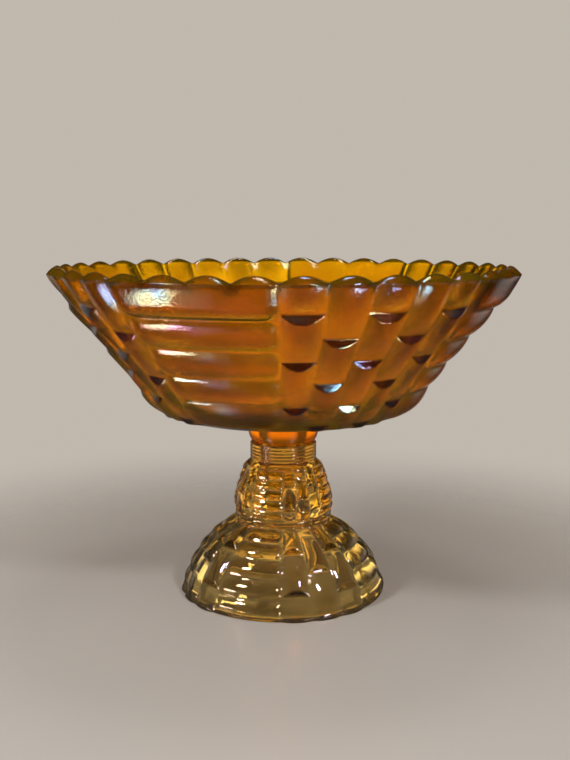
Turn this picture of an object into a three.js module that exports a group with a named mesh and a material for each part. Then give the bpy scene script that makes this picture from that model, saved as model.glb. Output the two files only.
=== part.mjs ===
// Pressed glass pedestal bowl. Millimetres, +Z up, standing on Z = 0 with its axis on Z.
// The front faces -Y. Azimuth 0 is the front and grows towards +X.
import * as THREE from 'three';

// Repeating layout round the axis: a ribbed panel, then a zone of upright stepped ribs.
const QUARTERS = 4;
const QUARTER_DEG = 360 / QUARTERS;
const ZONE_DEG = 50;
const PANEL_DEG = QUARTER_DEG - ZONE_DEG;

// Bowl
const SCALLOPS = 36;
const SCALLOP_DEG = 360 / SCALLOPS;
const SCALLOP_STEPS = 4;
const SCALLOP_H = 3.4;
const RIM_Z = 167.5;
const CREST_R = 115.2;
const LIP_IN_R = 111.6;
const LIP_IN_Z = RIM_Z + 0.4;
const BOWL_WALL = [
  [116.2, RIM_Z], [106.6, 152.2], [95.3, 138.1], [84.4, 124.4], [75.6, 112.2], [69.2, 102.8], [62.5, 97.4],
];
const BOWL_INSIDE = [[90.8, 141.4], [71.4, 116.2], [64.5, 107.8], [55, 103.6], [0, 102.4]];
const BOWL_UNDERSIDE = [[0, 91.2], [22, 91.2], [48, 94.2]];
const BOWL_GROOVES = [0, 18.1, 36.2, 53.7, 68.7];
const BOWL_BAND_H = [3.5, 2.0, 1.8, 1.6, 1.6];
const BOWL_NOTCH_FIRST = 14.7;
const BOWL_NOTCH_STEP = 14.1;
const BOWL_NOTCHES = 5;
const BOWL_RIB_H = 2.7;
const BOWL_CUT = 4;
const BOWL_RIBS = ZONE_DEG / SCALLOP_DEG;

// Joining wafer between bowl and stem
const GAP = 0.3;
const WAFER = [
  [0, 79.6], [15.2, 79.6], [16.9, 80.4], [17.9, 82.6], [18.7, 85.8], [19.3, 89.4], [19.1, 90.9], [0, 90.9],
];
const WAFER_SEGMENTS = 48;

// Pedestal
const NECK_TOP_Z = WAFER[0][1] - GAP;
const NECK_LOW_Z = 70.6;
const NECK_R = 17.0;
const NECK_RINGS = 5;
const NECK_RING_H = 0.5;
const KNOP_WALL = [[19.6, 67.2], [21.4, 62.2], [23.2, 57.0], [24.6, 51.8], [25.3, 46.6], [24.5, 43.2]];
const KNOP_GROOVES = [0, 5, 10, 15.2, 20.8];
const KNOP_NOTCHES = [8.6, 14.8, 21.0];
const KNOP_RIB_H = 1.1;
const KNOP_CUT = 1.8;
const BEAD = [[25.2, 41.6], [24.9, 39.8], [23.5, 38.2]];
const FOOT_WALL = [[24.0, 37.4], [32.2, 32.2], [39.3, 25.8], [45.4, 17.8], [50.0, 9.2], [53.2, 0]];
const FOOT_GROOVES = [0, 9.8, 19.4, 29.4, 39.2];
const FOOT_NOTCHES = [15.9, 26.6, 37.3];
const FOOT_RIB_H = 1.7;
const FOOT_CUT = 3.6;
const STEM_RIBS = 3;
const STEM_RIB_STEPS = 3;
const PANEL_STEPS = 6;
const PEDESTAL_HOLLOW = [
  [48.4, 0], [44.6, 10], [37.4, 20.6], [26.5, 29.6], [18.5, 33.4], [15.4, 38], [13.2, 61], [9, 66.2], [0, 68],
];

// Glass colours: amber fading to straw down the piece
const FINISH = {
  bowl: { color: 0xa8551a, roughness: 0.22, metalness: 0.25 },
  joining_wafer: { color: 0xc8691a, roughness: 0.12, metalness: 0.1 },
  pedestal: { color: 0xb58a4a, roughness: 0.1, metalness: 0.1 },
};

const CLEARANCE = 1.2;
const rad = THREE.MathUtils.degToRad;

// A smooth wall line running downwards, read by the distance travelled along it. nr and nz point outwards.
class WallLine {
  constructor(points) {
    this.curve = new THREE.SplineCurve(points.map(([r, z]) => new THREE.Vector2(r, z)));
    this.length = this.curve.getLength();
  }

  at(s) {
    const u = THREE.MathUtils.clamp(s / this.length, 0, 1);
    const p = this.curve.getPointAt(u);
    const t = this.curve.getTangentAt(u);
    return { r: p.x, z: p.y, nr: -t.y, nz: t.x, s };
  }
}

// Where an azimuth falls in the layout. cell is the scallop or rib index; across runs -1..1 over it.
function locate(deg, ribs) {
  const turn = THREE.MathUtils.euclideanModulo(deg, 360);
  const quarter = Math.floor(turn / QUARTER_DEG + 1e-9) % QUARTERS;
  const local = turn - quarter * QUARTER_DEG;
  if (local > ZONE_DEG + 1e-6) {
    return { panel: true, local: local - ZONE_DEG - PANEL_DEG / 2 };
  }
  const width = ZONE_DEG / ribs;
  const cell = Math.min(ribs - 1, Math.floor(local / width + 1e-9));
  return { panel: false, quarter, cell, across: ((local - cell * width) / width) * 2 - 1 };
}

// Height of a panel's level bands: arched across, with rounded ends.
function bandHeight(s, r, local, bands, heights) {
  const last = bands.length - 2;
  let band = 0;
  while (band < last && s > bands[band + 1]) band += 1;
  const half = (bands[band + 1] - bands[band]) / 2;
  const v = (s - bands[band] - half) / half;
  const edge = rad(PANEL_DEG / 2 - Math.abs(local)) * r;
  const u = Math.max(0, 1 - edge / half);
  return heights[band] * Math.max(0, 1 - v * v - u * u);
}

// Height of an upright rib, a column of blocks. Each block is full at its wide end and runs out to nothing
// at its narrow end; the wide end is cut off by a sloping flat, which leaves a half-moon face.
// ends lists the block limits down the wall. wideFirst is true where the wide end is the upper one.
function blockHeight(s, across, ends, height, cut, wideFirst) {
  let i = 1;
  while (i < ends.length - 1 && s > ends[i]) i += 1;
  const span = ends[i] - ends[i - 1];
  const fromWide = wideFirst ? s - ends[i - 1] : ends[i] - s;
  const u = THREE.MathUtils.clamp(fromWide / span, 0, 1);
  const rounded = height * (1 - u * u) * (1 - across * across);
  return Math.min(rounded, (height * Math.max(0, fromWide)) / cut);
}

// A closed body of revolution whose rings are moved by place(point, azimuth in degrees).
function turned(points, azimuths, place) {
  const profile = points.map((p) => new THREE.Vector2(p.r, p.z));
  const geometry = new THREE.LatheGeometry(profile, azimuths.length - 1);
  const position = geometry.getAttribute('position');
  azimuths.forEach((deg, ring) => {
    points.forEach((point, i) => {
      const { r, z } = place(point, deg);
      position.setXYZ(ring * points.length + i, r * Math.sin(rad(deg)), -r * Math.cos(rad(deg)), z);
    });
  });
  geometry.computeVertexNormals();
  return geometry;
}

function evenly(count) {
  return Array.from({ length: count + 1 }, (_, i) => (i * 360) / count);
}

function named(name, geometry) {
  const mesh = new THREE.Mesh(geometry, new THREE.MeshStandardMaterial(FINISH[name]));
  mesh.name = name;
  return mesh;
}

const plain = ([r, z]) => ({ r, z });

// Samples down a wall: groove lines, band flanks, and both ends of every half-moon cut.
function samples(bands, notches, cut) {
  const marks = [0, bands.at(-1), ...notches, ...notches.map((n) => n + cut)];
  const add = (m) => {
    if (marks.every((other) => Math.abs(m - other) > CLEARANCE)) marks.push(m);
  };
  bands.forEach(add);
  for (let i = 1; i < bands.length; i += 1) {
    const span = bands[i] - bands[i - 1];
    add(bands[i - 1] + span * 0.3);
    add(bands[i - 1] + span * 0.7);
  }
  return marks.sort((a, b) => a - b);
}

function buildBowl() {
  const wall = new WallLine(BOWL_WALL);
  const bands = [...BOWL_GROOVES, wall.length];
  const notches = Array.from({ length: BOWL_NOTCHES }, (_, i) => BOWL_NOTCH_FIRST + i * BOWL_NOTCH_STEP);
  const beyond = BOWL_NOTCH_FIRST + (BOWL_NOTCHES + 1) * BOWL_NOTCH_STEP;
  const blocks = [0, 1].map((odd) => {
    const own = notches.filter((_, i) => i % 2 === odd);
    return [-BOWL_CUT, ...own, beyond - odd * BOWL_NOTCH_STEP];
  });

  const relief = (p, deg) => {
    const spot = locate(deg, BOWL_RIBS);
    if (spot.panel) {
      // The top band keeps its fullness up to the rim.
      const crown = bands[1] / 2;
      const full = 0.86 + 0.14 * Math.min(1, p.s / crown);
      return full * bandHeight(Math.max(p.s, crown), p.r, spot.local, bands, BOWL_BAND_H);
    }
    const index = spot.quarter * (QUARTER_DEG / SCALLOP_DEG) + spot.cell;
    const height = BOWL_RIB_H * (p.r / CREST_R);
    return blockHeight(p.s, spot.across, blocks[index % 2], height, BOWL_CUT, true);
  };

  const arch = (deg) => Math.abs(Math.sin(rad((deg * 180) / SCALLOP_DEG)));
  const place = (p, deg) => {
    if (p.kind === 'crest') return { r: p.r, z: RIM_Z + SCALLOP_H * arch(deg) };
    if (p.kind === 'crease') return { r: p.r + relief(p, deg), z: p.z };
    if (p.kind === 'wall') {
      const h = relief(p, deg);
      return { r: p.r + p.nr * h, z: p.z + p.nz * h };
    }
    return p;
  };

  const outer = samples(bands, notches, BOWL_CUT).map((s) => ({ ...wall.at(s), kind: s ? 'wall' : 'crease' }));
  const profile = [
    ...BOWL_UNDERSIDE.map(plain),
    ...outer.reverse(),
    { r: CREST_R, kind: 'crest' },
    { r: LIP_IN_R, z: LIP_IN_Z },
    ...BOWL_INSIDE.map(plain),
  ];
  return turned(profile, evenly(SCALLOPS * SCALLOP_STEPS), place);
}

function buildPedestal() {
  const azimuths = [];
  for (let q = 0; q < QUARTERS; q += 1) {
    const steps = STEM_RIBS * STEM_RIB_STEPS;
    for (let i = 0; i < steps; i += 1) azimuths.push(q * QUARTER_DEG + (i * ZONE_DEG) / steps);
    for (let i = 0; i < PANEL_STEPS; i += 1) {
      azimuths.push(q * QUARTER_DEG + ZONE_DEG + (i * PANEL_DEG) / PANEL_STEPS);
    }
  }
  azimuths.push(360);

  // Blocks on knop and foot have their wide end below.
  // The outer ribs of a zone are cut twice, the middle one once.
  const section = (points, grooves, notches, height, cut) => {
    const wall = new WallLine(points);
    const bands = [...grooves, wall.length];
    const spacing = notches[1] - notches[0];
    const outerEnds = [notches[0] - 2 * spacing, notches[0], notches[2], notches[2] + 2 * spacing];
    const middleEnds = [notches[1] - 2 * spacing, notches[1], notches[1] + 2 * spacing + cut];
    const heights = bands.map(() => height);
    const relief = (p, deg) => {
      const spot = locate(deg, STEM_RIBS);
      if (spot.panel) return bandHeight(p.s, p.r, spot.local, bands, heights);
      const ends = spot.cell % 2 ? middleEnds : outerEnds;
      return blockHeight(p.s, spot.across, ends, height, cut, false);
    };
    return samples(bands, notches, -cut).map((s) => ({ ...wall.at(s), relief }));
  };

  const neck = [];
  for (let i = 0; i < NECK_RINGS; i += 1) {
    const pitch = (NECK_TOP_Z - 0.4 - NECK_LOW_Z) / NECK_RINGS;
    const z = NECK_TOP_Z - 0.4 - i * pitch;
    neck.push({ r: NECK_R, z }, { r: NECK_R + NECK_RING_H, z: z - pitch / 2 });
  }
  const place = (p, deg) => {
    if (!p.relief) return p;
    const h = p.relief(p, deg);
    const down = p.z > 0.5 ? p.nz * h : 0;
    return { r: p.r + p.nr * h, z: p.z + down };
  };
  const downwards = [
    { r: 0, z: NECK_TOP_Z },
    { r: NECK_R - 0.6, z: NECK_TOP_Z },
    ...neck,
    { r: NECK_R + 0.2, z: NECK_LOW_Z },
    { r: NECK_R + 1.6, z: 68.9 },
    ...section(KNOP_WALL, KNOP_GROOVES, KNOP_NOTCHES, KNOP_RIB_H, KNOP_CUT),
    ...BEAD.map(plain),
    ...section(FOOT_WALL, FOOT_GROOVES, FOOT_NOTCHES, FOOT_RIB_H, FOOT_CUT),
    ...PEDESTAL_HOLLOW.map(plain),
  ];
  return turned(downwards.reverse(), azimuths, place);
}

const part = new THREE.Group();
part.name = 'glass_pedestal_bowl';
part.add(named('bowl', buildBowl()));
part.add(named('joining_wafer', turned(WAFER.map(plain), evenly(WAFER_SEGMENTS), (p) => p)));
part.add(named('pedestal', buildPedestal()));

export default part;
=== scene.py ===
"""Pressed marigold carnival glass pedestal bowl. Metres, +Z up, front towards -Y.

The glass is modelled as three pieces round one axis: bowl, joining wafer and pedestal. Each wall is a
smooth line, and its pressed pattern is a height above that line, worked out at every point of a fine grid.
"""
import math

import bpy
import numpy as np
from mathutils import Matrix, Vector


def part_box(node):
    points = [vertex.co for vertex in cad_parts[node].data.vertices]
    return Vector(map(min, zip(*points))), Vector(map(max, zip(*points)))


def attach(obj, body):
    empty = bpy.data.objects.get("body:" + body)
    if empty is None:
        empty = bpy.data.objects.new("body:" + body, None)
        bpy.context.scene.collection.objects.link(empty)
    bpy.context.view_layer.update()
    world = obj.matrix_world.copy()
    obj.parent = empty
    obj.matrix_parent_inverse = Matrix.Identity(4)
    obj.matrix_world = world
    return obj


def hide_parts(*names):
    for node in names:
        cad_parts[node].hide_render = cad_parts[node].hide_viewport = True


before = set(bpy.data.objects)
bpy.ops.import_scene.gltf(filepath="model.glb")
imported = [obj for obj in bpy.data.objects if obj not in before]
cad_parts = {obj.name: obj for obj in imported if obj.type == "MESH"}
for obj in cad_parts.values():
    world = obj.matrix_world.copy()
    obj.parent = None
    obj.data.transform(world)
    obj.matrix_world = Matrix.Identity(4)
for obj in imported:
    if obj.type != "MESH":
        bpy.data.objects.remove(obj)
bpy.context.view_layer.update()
MM = 0.001

# The two heights that fix the rest come from the frame. Wall lines are (radius, height) in millimetres.
SCALLOP_H = 3.4
RIM_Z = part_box("bowl")[1].z / MM - SCALLOP_H
NECK_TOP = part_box("pedestal")[1].z / MM

# Layout round the axis, in degrees: a zone of upright stepped ribs, then a panel of level bands.
QUARTER = 90.0
ZONE = 50.0
PANEL = QUARTER - ZONE
SCALLOP = 10.0
BOWL_RIBS = 5
PEDESTAL_RIBS = 3

# The pressed pattern. Grooves part the level bands and notches part the blocks of the ribs; both are
# distances down the wall. CUT is how long the sloping flat at the wide end of a block is. BAND_FULLNESS
# mixes a half-round section (1) with a flatter arch (0), and BAND_END is how long a band's rounded end is,
# in half heights of the band.
BAND_FULLNESS = 0.55
BAND_END = 0.9
RIB_POWER = 2.2

BOWL_WALL = [(116.2, RIM_Z), (106.6, 152.2), (95.3, 138.1), (84.4, 124.4), (75.6, 112.2), (69.2, 102.8),
             (62.5, 97.4)]
BOWL_GROOVES = [0, 18.1, 36.2, 53.7, 68.7]
BOWL_BAND_H = [3.4, 2.1, 1.9, 1.7, 1.7]
BOWL_RIB_H = 2.6
BOWL_CUT = 3.9
BOWL_STEP = 14.1
BOWL_NOTCHES = [14.7 + BOWL_STEP * i for i in range(7)]
BOWL_GRID = (0.5, 0.8)
CREST_R = 115.2
RIM_SETTLE = 1.5

# The lip, in steps from its outer edge (0) to its inner edge (1), highest at LIP_CREST
LIP_STEPS = [0.04, 0.1, 0.18, 0.28, 0.4, 0.52, 0.6, 0.66, 0.72, 0.8, 0.9, 1.0]
LIP_CREST = 0.6
LIP_ROUND = 0.9
LIP_IN_R = 111.6
LIP_RISE = 0.4
# The lip's low relief gives it the bright groove colour: a painted light line along the crest.
LIP_GLOW_RELIEF = 0.1

BOWL_INSIDE = [(LIP_IN_R, RIM_Z + LIP_RISE), (100.6, 153.9), (90.8, 141.4), (80.7, 128.2), (71.4, 116.2),
               (64.5, 107.9), (55, 103.8), (40, 102.8), (20, 102.5), (0, 102.4)]
BOWL_UNDER = [(62.5, 97.4), (55.5, 95.0), (40, 93.2), (22, 91.3), (12, 91.2), (0, 91.2)]

WAFER_LINE = [(0, 79.6), (9, 79.6), (14.6, 79.65), (16.4, 80.1), (17.4, 81.3), (18.1, 83.2), (18.7, 85.9),
              (19.2, 88.7), (19.2, 90.0), (18.6, 90.75), (16.5, 90.9), (9, 90.9), (0, 90.9)]

NECK_START = NECK_TOP - 0.3
NECK_LOW = 70.6
NECK_R = 17.0
NECK_RINGS = 5
NECK_RING_H = 0.42
CAP = [(0, NECK_TOP), (8, NECK_TOP), (15.9, NECK_TOP), (16.7, NECK_TOP - 0.1)]
SHOULDER = [(17.1, 70.3), (17.5, 69.7), (18.9, 68.3), (19.9, 67.5)]
KNOP_WALL = [(19.6, 67.2), (21.4, 62.2), (23.2, 57.0), (24.6, 51.8), (25.3, 46.6), (24.5, 43.2)]
KNOP_GROOVES = [0, 5, 10, 15.2, 20.8]
KNOP_NOTCHES = [8.6, 14.8, 21.0]
KNOP_H = 1.1
KNOP_CUT = 1.8
BEAD = [(24.9, 42.5), (25.3, 41.3), (25.0, 39.6), (23.9, 38.2)]
FOOT_WALL = [(24.0, 37.4), (32.2, 32.2), (39.3, 25.8), (45.4, 17.8), (50.0, 9.2), (53.2, 0)]
FOOT_GROOVES = [0, 9.8, 19.4, 29.4, 39.2]
FOOT_NOTCHES = [15.9, 26.6, 37.3]
FOOT_H = 1.7
FOOT_CUT = 3.6
FOOT_LEVEL = 3
HOLLOW = [(48.4, 0), (44.6, 10), (37.4, 20.6), (26.5, 29.6), (18.5, 33.4), (15.4, 38), (14.3, 50),
          (13.2, 61), (9, 66.2), (4, 67.8), (0, 68)]

# Relief of plain stretches and of the two poles, between groove (0) and crown (1)
PLAIN_RELIEF = 0.5


def spline(points, per=60):
    """A Catmull-Rom line through the points: distance along it, radius and height, finely sampled."""
    p = np.array(points, float)
    ends = np.vstack([p[0], p, p[-1]])
    t = np.linspace(0, 1, per, endpoint=False)[:, None]
    run = []
    for a, b, c, d in zip(ends[:-3], ends[1:-2], ends[2:-1], ends[3:]):
        v0, v1 = (c - a) / 2, (d - b) / 2
        run.append((2 * b - 2 * c + v0 + v1) * t**3 + (-3 * b + 3 * c - 2 * v0 - v1) * t**2 + v0 * t + b)
    run = np.vstack([*run, p[-1:]])
    s = np.concatenate([[0], np.cumsum(np.hypot(*np.diff(run, axis=0).T))])
    return s, run[:, 0], run[:, 1]


def wall_at(line, s):
    """Radius, height and outward normal of a downward wall line at distances s."""
    d, r, z = line
    either_way = 0.15
    r0, z0 = np.interp(s, d, r), np.interp(s, d, z)
    tr = np.interp(s + either_way, d, r) - np.interp(s - either_way, d, r)
    tz = np.interp(s + either_way, d, z) - np.interp(s - either_way, d, z)
    n = np.hypot(tr, tz) + 1e-9
    return r0, z0, -tz / n, tr / n


def spacing(length, coarse, fine, spots, reach):
    """Sample places from 0 to length, fine near each spot and coarse elsewhere."""
    marks = [0.0]
    while marks[-1] < length:
        near = any(a - reach[0] <= marks[-1] <= a + reach[1] for a in spots)
        marks.append(marks[-1] + (fine if near else coarse))
    marks = np.array(marks)
    return marks * length / marks[-1]


def columns(zone_steps, panel_steps):
    """Azimuths in degrees: each quarter is a finely divided zone and then a panel."""
    zone = np.linspace(0, ZONE, zone_steps, endpoint=False)
    panel = ZONE + np.linspace(0, PANEL, panel_steps, endpoint=False)
    return np.concatenate([q * QUARTER + np.concatenate([zone, panel]) for q in range(4)])


def bands(s, r, azimuth, edges, heights):
    """Heights of the level bands of a panel: arched across, with rounded ends."""
    local = azimuth % QUARTER - ZONE
    side = np.radians(PANEL / 2 - np.abs(local - PANEL / 2)) * r
    index = np.clip(np.searchsorted(edges, s, side="right") - 1, 0, len(edges) - 2)
    low, high = np.take(edges, index), np.take(edges, index + 1)
    half = (high - low) / 2
    v = (s - low - half) / half
    u = np.clip(1 - side / (half * BAND_END), 0, 1)
    q = np.clip(1 - v * v - u * u, 0, 1)
    arch = BAND_FULLNESS * np.sqrt(q) + (1 - BAND_FULLNESS) * q
    return np.where(local > 0, np.take(heights, index) * arch, 0)


def blocks(s, azimuth, ribs, ends_of, height, cut, wide_first):
    """Upright ribs: blocks full at the wide end, cut there by a sloping flat, and flush at the narrow end.

    ends_of holds the block ends of even ribs and of odd ribs. Returns the heights, and where the sloping
    flats are."""
    width = ZONE / ribs
    local = azimuth % QUARTER
    cell = np.clip(np.floor(local / width), 0, ribs - 1).astype(int)
    across = (local - cell * width) / width * 2 - 1
    # On the bowl, even and odd follow the scallops, which are counted round the whole rim.
    before = (azimuth // QUARTER * (QUARTER / SCALLOP)).astype(int) if ribs == BOWL_RIBS else 0
    out = np.zeros(np.broadcast(s, azimuth).shape)
    flats = out.copy()
    for odd in (0, 1):
        ends = np.array(ends_of[odd], float)
        index = np.clip(np.searchsorted(ends, s, side="right") - 1, 0, len(ends) - 2)
        low, high = np.take(ends, index), np.take(ends, index + 1)
        run = s - low if wide_first else high - s
        u = np.clip(run / (high - low), 0, 1)
        round_off = height * (1 - u**RIB_POWER) * (1 - np.abs(across) ** RIB_POWER)
        flat = height * np.clip(run, 0, None) / cut
        mine = ((before + cell) % 2 == odd) & (local < ZONE)
        out = np.where(mine, np.minimum(round_off, flat), out)
        flats = np.where(mine & (flat < round_off) & (s > low.min() + cut), 1.0, flats)
    return out, flats


def blur(h, steps, sigma):
    """Softens a height grid by sigma in both directions; the last axis runs round the axis of the piece."""
    for axis, step in enumerate(steps):
        n = max(1, int(round(3 * sigma / step)))
        k = np.exp(-0.5 * (np.arange(-n, n + 1) * step / sigma) ** 2)
        k /= k.sum()
        mode = "edge" if axis == 0 else "wrap"
        pad = [(n, n) if a == axis else (0, 0) for a in range(2)]
        wide = np.pad(h, pad, mode=mode)
        h = sum(w * np.take(wide, np.arange(i, i + h.shape[axis]), axis=axis) for i, w in enumerate(k))
    return h


def revolved(name, azimuth, parts):
    """A closed mesh from parts that run down the outside; the first and last rows become poles.

    Each part is grids of radius and height, or of radius, height, relief and flats. The last two are
    stored at each point for the material."""
    whole = [p if len(p) == 4 else (*p, np.full_like(p[0], PLAIN_RELIEF), np.zeros_like(p[0])) for p in parts]
    r, z, relief, flats = (np.vstack(grids) for grids in zip(*whole))
    a = np.radians(azimuth)
    rows, cols = r.shape
    xyz = np.stack([r * np.sin(a), -r * np.cos(a), z], axis=-1)[1:-1].reshape(-1, 3)
    poles = np.array([[0, 0, z[0].mean()], [0, 0, z[-1].mean()]])
    verts = np.vstack([xyz, poles]) * MM
    i = np.arange(rows - 3)[:, None] * cols
    j = np.arange(cols)[None, :]
    k = (j + 1) % cols
    quads = np.stack([i + j, i + cols + j, i + cols + k, i + k], axis=-1).reshape(-1, 4)
    last = (rows - 3) * cols
    count = len(xyz)
    j, k = j.ravel(), k.ravel()
    top = np.stack([np.full(cols, count), j, k], axis=-1)
    low = np.stack([np.full(cols, count + 1), last + k, last + j], axis=-1)
    mesh = bpy.data.meshes.new(name)
    mesh.from_pydata(verts.tolist(), [], quads.tolist() + top.tolist() + low.tolist())
    mesh.polygons.foreach_set("use_smooth", np.ones(len(mesh.polygons), bool))
    mesh.update()
    for key, grid in (("relief", relief), ("flats", flats)):
        values = np.append(grid[1:-1].ravel(), [PLAIN_RELIEF, PLAIN_RELIEF])
        mesh.attributes.new(key, "FLOAT", "POINT").data.foreach_set("value", values)
    piece = bpy.data.objects.new(name, mesh)
    bpy.context.scene.collection.objects.link(piece)
    return piece


def plain_rows(line, cols, count):
    """Rows of a plain surface of revolution along a smooth line."""
    d, r, z = spline(line)
    at = np.linspace(0, d[-1], count)
    ones = np.ones((1, cols))
    return np.interp(at, d, r)[:, None] * ones, np.interp(at, d, z)[:, None] * ones


def bowl_face(azimuth):
    """The pressed outside of the bowl, from the rim down."""
    line = spline(BOWL_WALL)
    length = line[0][-1]
    s = spacing(length, 1.15, BOWL_GRID[0], BOWL_NOTCHES[:5], (0.8, 5.0))[:, None]
    r0, z0, nr, nz = wall_at(line, s)
    edges = np.array([*BOWL_GROOVES, length])
    # The top band keeps most of its height up to the rim.
    s_band = np.maximum(s, edges[1] / 2 * 0.8)
    panel = bands(s_band, r0, azimuth[None, :], edges, BOWL_BAND_H)
    even = [-BOWL_CUT, *BOWL_NOTCHES[0::2]]
    odd = [-BOWL_CUT, *BOWL_NOTCHES[1::2], BOWL_NOTCHES[-1] + BOWL_STEP]
    zone, flats = blocks(s, azimuth[None, :], BOWL_RIBS, [even, odd], BOWL_RIB_H, BOWL_CUT, True)
    h = blur(panel + zone * (r0 / CREST_R), BOWL_GRID, 0.34)
    # At the rim the wall ends on a level edge.
    settle = np.exp(-s / RIM_SETTLE)
    r = (r0 + nr * h) * (1 - settle) + (r0 + h) * settle
    z = (z0 + nz * h) * (1 - settle) + z0 * settle
    return r, z, h / BOWL_RIB_H, blur(flats, BOWL_GRID, 0.3)


def bowl_lip(azimuth, outer_r):
    """The scalloped lip, from the top of the outside to the top of the inside."""
    arch = np.abs(np.sin(np.radians(azimuth * (180 / SCALLOP))))[None, :]
    q = np.array(LIP_STEPS)[:, None]
    climb = np.sin(np.clip(q / LIP_CREST, 0, 1) * math.pi / 2) ** LIP_ROUND
    fall = np.cos((q - LIP_CREST) / (1 - LIP_CREST) * math.pi / 2)
    rise = np.clip(np.where(q < LIP_CREST, climb, fall), 0, 1)
    r = outer_r + (LIP_IN_R - outer_r) * q
    z = RIM_Z + LIP_RISE * q + SCALLOP_H * arch**LIP_ROUND * rise
    # Low relief on the whole lip paints it with the groove glow: a painted light crest.
    return r, z, np.full_like(r, LIP_GLOW_RELIEF), np.zeros_like(r)


def make_bowl():
    azimuth = columns(112, 40)
    face = bowl_face(azimuth)
    inside = [grid[::-1] for grid in plain_rows(BOWL_INSIDE, len(azimuth), 22)]
    lip = [grid[::-1][1:] for grid in bowl_lip(azimuth, face[0][0])]
    under = [grid[1:] for grid in plain_rows(BOWL_UNDER, len(azimuth), 12)]
    return revolved("bowl_glass", azimuth, [inside, lip, face, under])


def make_wafer():
    azimuth = np.arange(0, 360, 2.0)
    rows = [grid[::-1] for grid in plain_rows(WAFER_LINE, len(azimuth), 90)]
    return revolved("wafer_glass", azimuth, [rows])


def pattern(points, grooves, notches, height, cut, azimuth, coarse, fine, sigma):
    """One pressed stretch of the pedestal's outside.

    The outer ribs of a zone are cut at the first and last notch, and the middle rib at the second."""
    line = spline(points)
    length = line[0][-1]
    s = spacing(length, coarse, fine, notches, (cut + 0.5, 0.8))[:, None]
    r0, z0, nr, nz = wall_at(line, s)
    edges = np.array([*grooves, length])
    step = notches[1] - notches[0]
    outer = [notches[0] - 2 * step, notches[0], notches[2], notches[2] + 2 * step]
    middle = [notches[1] - 2 * step, notches[1], notches[1] + 2 * step + cut]
    panel = bands(s, r0, azimuth[None, :], edges, [height] * len(grooves))
    zone, flats = blocks(s, azimuth[None, :], PEDESTAL_RIBS, [outer, middle], height, cut, False)
    steps = (fine, np.mean(r0) * math.radians(360 / len(azimuth)))
    h = blur(panel + zone, steps, sigma)
    # Near the base only the radius follows the pattern, so the foot stands level.
    z = z0 + nz * h * np.clip(z0 / FOOT_LEVEL, 0, 1)
    return r0 + nr * h, z, h / height, blur(flats, steps, sigma)


def make_pedestal():
    azimuth = columns(80, 32)
    cols = len(azimuth)
    z = np.linspace(NECK_START, NECK_LOW, 46)[:, None] * np.ones((1, cols))
    ring = (NECK_START - z) / (NECK_START - NECK_LOW) * NECK_RINGS
    neck = NECK_R + NECK_RING_H * np.abs(np.sin(ring * math.pi)), z
    knop = pattern(KNOP_WALL, KNOP_GROOVES, KNOP_NOTCHES, KNOP_H, KNOP_CUT, azimuth, 0.6, 0.36, 0.2)
    foot = pattern(FOOT_WALL, FOOT_GROOVES, FOOT_NOTCHES, FOOT_H, FOOT_CUT, azimuth, 1.1, 0.55, 0.28)
    cap = plain_rows(CAP, cols, 8)
    shoulder = plain_rows(SHOULDER, cols, 8)
    bead = plain_rows(BEAD, cols, 10)
    hollow = plain_rows(HOLLOW, cols, 32)
    return revolved("pedestal_glass", azimuth, [cap, neck, shoulder, knop, bead, foot, hollow])


def node(nt, kind, inputs=(), **settings):
    """A new node with its settings, and with a value or a link on each named or numbered input."""
    n = nt.nodes.new(kind)
    for key, value in settings.items():
        setattr(n, key, value)
    for key, value in dict(inputs).items():
        if isinstance(value, bpy.types.NodeSocket):
            nt.links.new(value, n.inputs[key])
        else:
            n.inputs[key].default_value = value
    return n


def mixed(nt, factor, a, b):
    """Colour a where factor is 0 and b where it is 1; each is a colour or a socket."""
    mix = node(nt, "ShaderNodeMix", {"Factor": factor}, data_type="RGBA")
    for key, value in (("A", a), ("B", b)):
        socket = next(i for i in mix.inputs if i.name == key and i.type == "RGBA")
        if isinstance(value, bpy.types.NodeSocket):
            nt.links.new(value, socket)
        else:
            socket.default_value = (*value, 1)
    return next(o for o in mix.outputs if o.type == "RGBA")


def ranged(nt, value, span, to=(0.0, 1.0), **settings):
    """The value carried from one span to another, and held at its ends."""
    inputs = {"Value": value, "From Min": span[0], "From Max": span[1], "To Min": to[0], "To Max": to[1]}
    return node(nt, "ShaderNodeMapRange", inputs, **settings).outputs["Result"]


def worked(nt, operation, *values):
    """One step of arithmetic on numbers and sockets."""
    return node(nt, "ShaderNodeMath", dict(enumerate(values)), operation=operation).outputs["Value"]


def mirror_dimming(nt):
    """1 where light is seen directly or through glass, and less where it is mirrored."""
    return ranged(nt, node(nt, "ShaderNodeLightPath").outputs["Is Reflection Ray"], (0.0, 1.0), (1.0, 0.2))


CLOUD_SPAN = (0.3, 0.7)
RELIEF_SPAN = (0.2, 0.8)
TONES = (0.72, 1.25)


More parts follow.
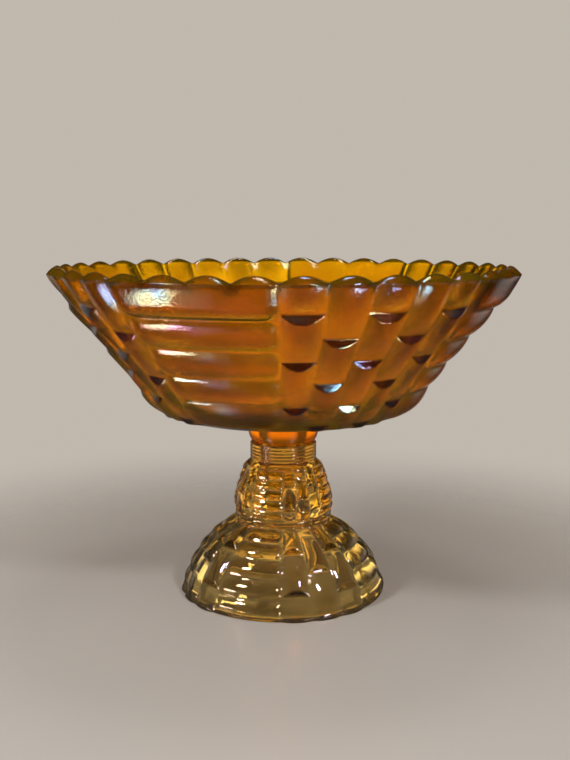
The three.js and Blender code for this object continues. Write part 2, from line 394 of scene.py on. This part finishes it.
def glass(name, crown, groove_glow, upper, z_low, z_high, flat, soak, depth, clear, roughness, film, film_swing,
          grain, grain_size):
    """Tinted glass with an iridescent film, and with light and shade painted into its colour where the
    pattern is.

    crown is the colour of the high parts of the pattern. The groove colour, on the low parts, is painted
    brighter: a painted glow standing in for light bent through the grooves. flat is the colour of the sloping
    cut flats, painted
    dark: painted shade standing in for the dark those flats show. upper is the crown colour at height z_high
    in metres. soak is the colour that thick glass turns towards, and depth says how strongly, per metre.
    clear is how much of the light goes through. film is the thickness of the film in nanometres, and
    film_swing is how far it drifts. grain is the strength of the fine unevenness."""
    m = bpy.data.materials.new(name)
    m.use_nodes = True
    nt = m.node_tree
    nt.nodes.clear()
    place = node(nt, "ShaderNodeTexCoord").outputs["Object"]
    height = node(nt, "ShaderNodeSeparateXYZ", {"Vector": place}).outputs["Z"]
    cloudy = {"Vector": place, "Scale": 26.0, "Detail": 3.0, "Roughness": 0.55}
    cloud = node(nt, "ShaderNodeTexNoise", cloudy).outputs["Fac"]
    relief = node(nt, "ShaderNodeAttribute", attribute_name="relief").outputs["Fac"]
    flats = node(nt, "ShaderNodeAttribute", attribute_name="flats").outputs["Fac"]
    tall = mixed(nt, ranged(nt, height, (z_low, z_high)), crown, upper)
    # Grooves painted brighter than the crowns: a painted glow for light bent through them.
    pressed = mixed(nt, ranged(nt, relief, RELIEF_SPAN), groove_glow, tall)
    # Sloping flats painted dark: painted shade.
    cut = mixed(nt, flats, pressed, flat)
    tone = ranged(nt, cloud, CLOUD_SPAN, TONES)
    colour = node(nt, "ShaderNodeHueSaturation", {"Value": tone, "Color": cut})
    thick = ranged(nt, cloud, CLOUD_SPAN, (film - film_swing, film + film_swing))
    grit = node(nt, "ShaderNodeTexNoise", {"Vector": place, "Scale": 1 / grain_size, "Detail": 2.0})
    bump = node(nt, "ShaderNodeBump", {
        "Height": grit.outputs["Fac"], "Strength": grain, "Distance": grain_size / 2})
    shader = node(nt, "ShaderNodeBsdfPrincipled", {
        "Base Color": colour.outputs["Color"], "Roughness": roughness, "IOR": 1.5,
        "Transmission Weight": clear, "Thin Film Thickness": thick, "Thin Film IOR": 1.65,
        "Normal": bump.outputs["Normal"]})
    body = node(nt, "ShaderNodeVolumeAbsorption", {"Color": (*soak, 1), "Density": depth})
    node(nt, "ShaderNodeOutputMaterial", {
        "Surface": shader.outputs["BSDF"], "Volume": body.outputs["Volume"]})
    return m


AMBER = (0.4, 0.255, 0.006)
# Painted glow: the bright colour of the bowl's grooves.
MARIGOLD_GLOW = (1.0, 0.68, 0.02)
# Painted shade: the near-black colour of the bowl's sloping flats.
UMBER_SHADE = (0.08, 0.022, 0.005)
ORANGE = (0.95, 0.36, 0.006)
STRAW = (0.74, 0.58, 0.3)
# Painted glow: the bright colour of the pedestal's grooves.
PALE_STRAW_GLOW = (1.0, 0.84, 0.5)
HONEY = (0.84, 0.46, 0.03)
# Painted shade: the dark colour of the pedestal's sloping flats.
OLIVE_SHADE = (0.26, 0.18, 0.07)
MARIGOLD_SOAK = (0.96, 0.77, 0.0)
STRAW_SOAK = (0.9, 0.74, 0.0)

bowl = make_bowl()
wafer = make_wafer()
pedestal = make_pedestal()
marigold_satin = glass(
    "marigold_satin", crown=AMBER, groove_glow=MARIGOLD_GLOW, upper=AMBER, z_low=0.1, z_high=0.17, flat=UMBER_SHADE,
    soak=MARIGOLD_SOAK, depth=260, clear=0.95, roughness=0.055, film=260, film_swing=120, grain=0.25,
    grain_size=0.0009)
orange_gloss = glass(
    "orange_gloss", crown=ORANGE, groove_glow=ORANGE, upper=ORANGE, z_low=0.08, z_high=0.09, flat=ORANGE,
    soak=MARIGOLD_SOAK, depth=90, clear=0.9, roughness=0.03, film=150, film_swing=20, grain=0.02,
    grain_size=0.001)
straw_gloss = glass(
    "straw_gloss", crown=STRAW, groove_glow=PALE_STRAW_GLOW, upper=HONEY, z_low=0.014, z_high=0.05, flat=OLIVE_SHADE,
    soak=STRAW_SOAK, depth=60, clear=0.97, roughness=0.015, film=150, film_swing=40, grain=0.01,
    grain_size=0.001)
looks = {
    "bowl": (bowl, "bowl_glass", marigold_satin),
    "joining_wafer": (wafer, "wafer_glass", orange_gloss),
    "pedestal": (pedestal, "pedestal_glass", straw_gloss),
}
for cad_node, (piece, slot, material) in looks.items():
    piece.data.materials.append(material)
    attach(piece, "root")
    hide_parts(cad_node)

# A pale floor that fades out softly into the studio surround
FLOOR_NEAR, FLOOR_FAR = 0.12, 0.36
FLOOR_Z = -0.0002
FLOOR_COLOUR = (0.4, 0.375, 0.35, 1)


def floor_paint():
    """Pale paint with a soft gloss, dimmer where it is mirrored, clear towards the edge of the floor."""
    m = bpy.data.materials.new("pale_floor")
    m.use_nodes = True
    nt = m.node_tree
    shader = nt.nodes["Principled BSDF"]
    shader.inputs["Roughness"].default_value = 0.22
    shader.inputs["IOR"].default_value = 1.75
    paint = node(nt, "ShaderNodeHueSaturation", {"Value": mirror_dimming(nt), "Color": FLOOR_COLOUR})
    nt.links.new(paint.outputs["Color"], shader.inputs["Base Color"])
    place = node(nt, "ShaderNodeTexCoord").outputs["Object"]
    far = node(nt, "ShaderNodeVectorMath", {0: place}, operation="LENGTH").outputs["Value"]
    edge = ranged(nt, far, (FLOOR_NEAR, FLOOR_FAR), interpolation_type="SMOOTHSTEP")
    clear = node(nt, "ShaderNodeBsdfTransparent").outputs["BSDF"]
    fade = node(nt, "ShaderNodeMixShader", {0: edge, 1: shader.outputs["BSDF"], 2: clear})
    nt.links.new(fade.outputs["Shader"], nt.nodes["Material Output"].inputs["Surface"])
    return m


bpy.ops.mesh.primitive_circle_add(vertices=96, radius=FLOOR_FAR, fill_type="NGON", location=(0, 0, FLOOR_Z))
floor = bpy.context.object
floor.name = "floor"
floor.data.materials.append(floor_paint())

LAMP_AIM_Z = 0.12


def lamp(name, bearing, elevation, distance, size, power, spread=180):
    """A soft panel aimed at the bowl. Bearing 0 is the front and grows towards +X."""
    data = bpy.data.lights.new(name, "AREA")
    data.shape = "RECTANGLE"
    data.size, data.size_y = size
    data.energy = power
    data.spread = math.radians(spread)
    o = bpy.data.objects.new(name, data)
    bpy.context.scene.collection.objects.link(o)
    b, e = math.radians(bearing), math.radians(elevation)
    away = np.array([math.sin(b) * math.cos(e), -math.cos(b) * math.cos(e), math.sin(e)])
    o.location = np.array([0, 0, LAMP_AIM_Z]) + away * distance
    o.rotation_euler = Vector(-away).to_track_quat("-Z", "Y").to_euler()
    o.visible_camera = False


lamp("key_left", -58, 37, 0.9, (0.14, 0.14), 5)
lamp("low_left", -60, -24.9, 0.2425, (0.08, 0.016), 0.055, spread=80)
lamp("key_right", 38, 37, 0.95, (0.12, 0.12), 4.5)
lamp("low_right", 40, -24.9, 0.2425, (0.06, 0.016), 0.05, spread=80)
lamp("top", 160, 78, 1.2, (0.3, 0.3), 2.6)

# Studio surround: evenly pale where the camera sees it; around the glass, light walls with dark gaps
# between them and a dark ceiling and floor, so that the pressed pattern shows its edges.
SURROUND = (0.53, 0.48, 0.42)
WALL_LEVELS = ((0.0, 1.0), (0.12, 1.0), (0.3, 0.02), (0.6, 0.02), (0.86, 0.55), (1.0, 0.55))
WALL_DIP = 0.12
WALL_SPAN = (0.1, 0.4)
WALL_LIGHT = (4.6, 0.08)


def make_world():
    world = bpy.data.worlds.new("studio")
    world.use_nodes = True
    nt = world.node_tree
    nt.nodes.clear()
    way = node(nt, "ShaderNodeSeparateXYZ", {"Vector": node(nt, "ShaderNodeTexCoord").outputs["Generated"]})
    bearing = worked(nt, "ARCTAN2", way.outputs["X"], way.outputs["Y"])
    wave = worked(nt, "COSINE", worked(nt, "MULTIPLY", bearing, 4.0))
    walls = node(nt, "ShaderNodeValToRGB", {"Fac": worked(nt, "MULTIPLY_ADD", wave, 0.5, 0.5)})
    ramp = walls.color_ramp
    ramp.interpolation = "EASE"
    for at, level in WALL_LEVELS:
        stop = ramp.elements.new(at) if 0 < at < 1 else ramp.elements[0 if at == 0 else -1]
        stop.color = (level, level, level, 1)
    from_level = worked(nt, "ABSOLUTE", worked(nt, "ADD", way.outputs["Z"], WALL_DIP))
    reach = ranged(nt, from_level, WALL_SPAN, WALL_LIGHT, interpolation_type="SMOOTHSTEP")
    lit = worked(nt, "MULTIPLY", walls.outputs["Color"], reach)
    dim = worked(nt, "MULTIPLY", lit, mirror_dimming(nt))
    path = node(nt, "ShaderNodeLightPath")
    plainly = worked(nt, "MAXIMUM", path.outputs["Is Camera Ray"], path.outputs["Is Diffuse Ray"])
    seen = node(nt, "ShaderNodeMix", {"Factor": plainly, "A": dim, "B": 1.0}, data_type="FLOAT")
    surround = node(nt, "ShaderNodeBackground", {"Color": (*SURROUND, 1), "Strength": seen.outputs["Result"]})
    node(nt, "ShaderNodeOutputWorld", {"Surface": surround.outputs["Background"]})
    return world


bpy.context.scene.world = make_world()

# Camera: as far off and as high above the rim as the photograph's, in radii of the rim; it looks slightly
# down, and the focal length is in picture heights.
RIM_UNIT = 0.1156
CAM_AWAY = 4.467 * RIM_UNIT
CAM_ABOVE_RIM = 0.2056 * RIM_UNIT
CAM_ASIDE = 0.0009
CAM_BEARING = math.radians(0.68)
CAM_TILT = math.radians(90 - 8.81)
LENS = 1000.0 / 760
SENSOR = 36.0
cam_data = bpy.data.cameras.new("camera")
cam_data.sensor_width = SENSOR
cam_data.lens = LENS * SENSOR
cam_data.clip_start, cam_data.clip_end = 0.01, 20
cam = bpy.data.objects.new("camera", cam_data)
bpy.context.scene.collection.objects.link(cam)
cam.location = (math.sin(CAM_BEARING) * CAM_AWAY + CAM_ASIDE, -math.cos(CAM_BEARING) * CAM_AWAY,
                RIM_Z * MM + CAM_ABOVE_RIM)
cam.rotation_euler = (CAM_TILT, 0, CAM_BEARING)
bpy.context.scene.camera = cam
bpy.context.scene.view_settings.view_transform = "Standard"
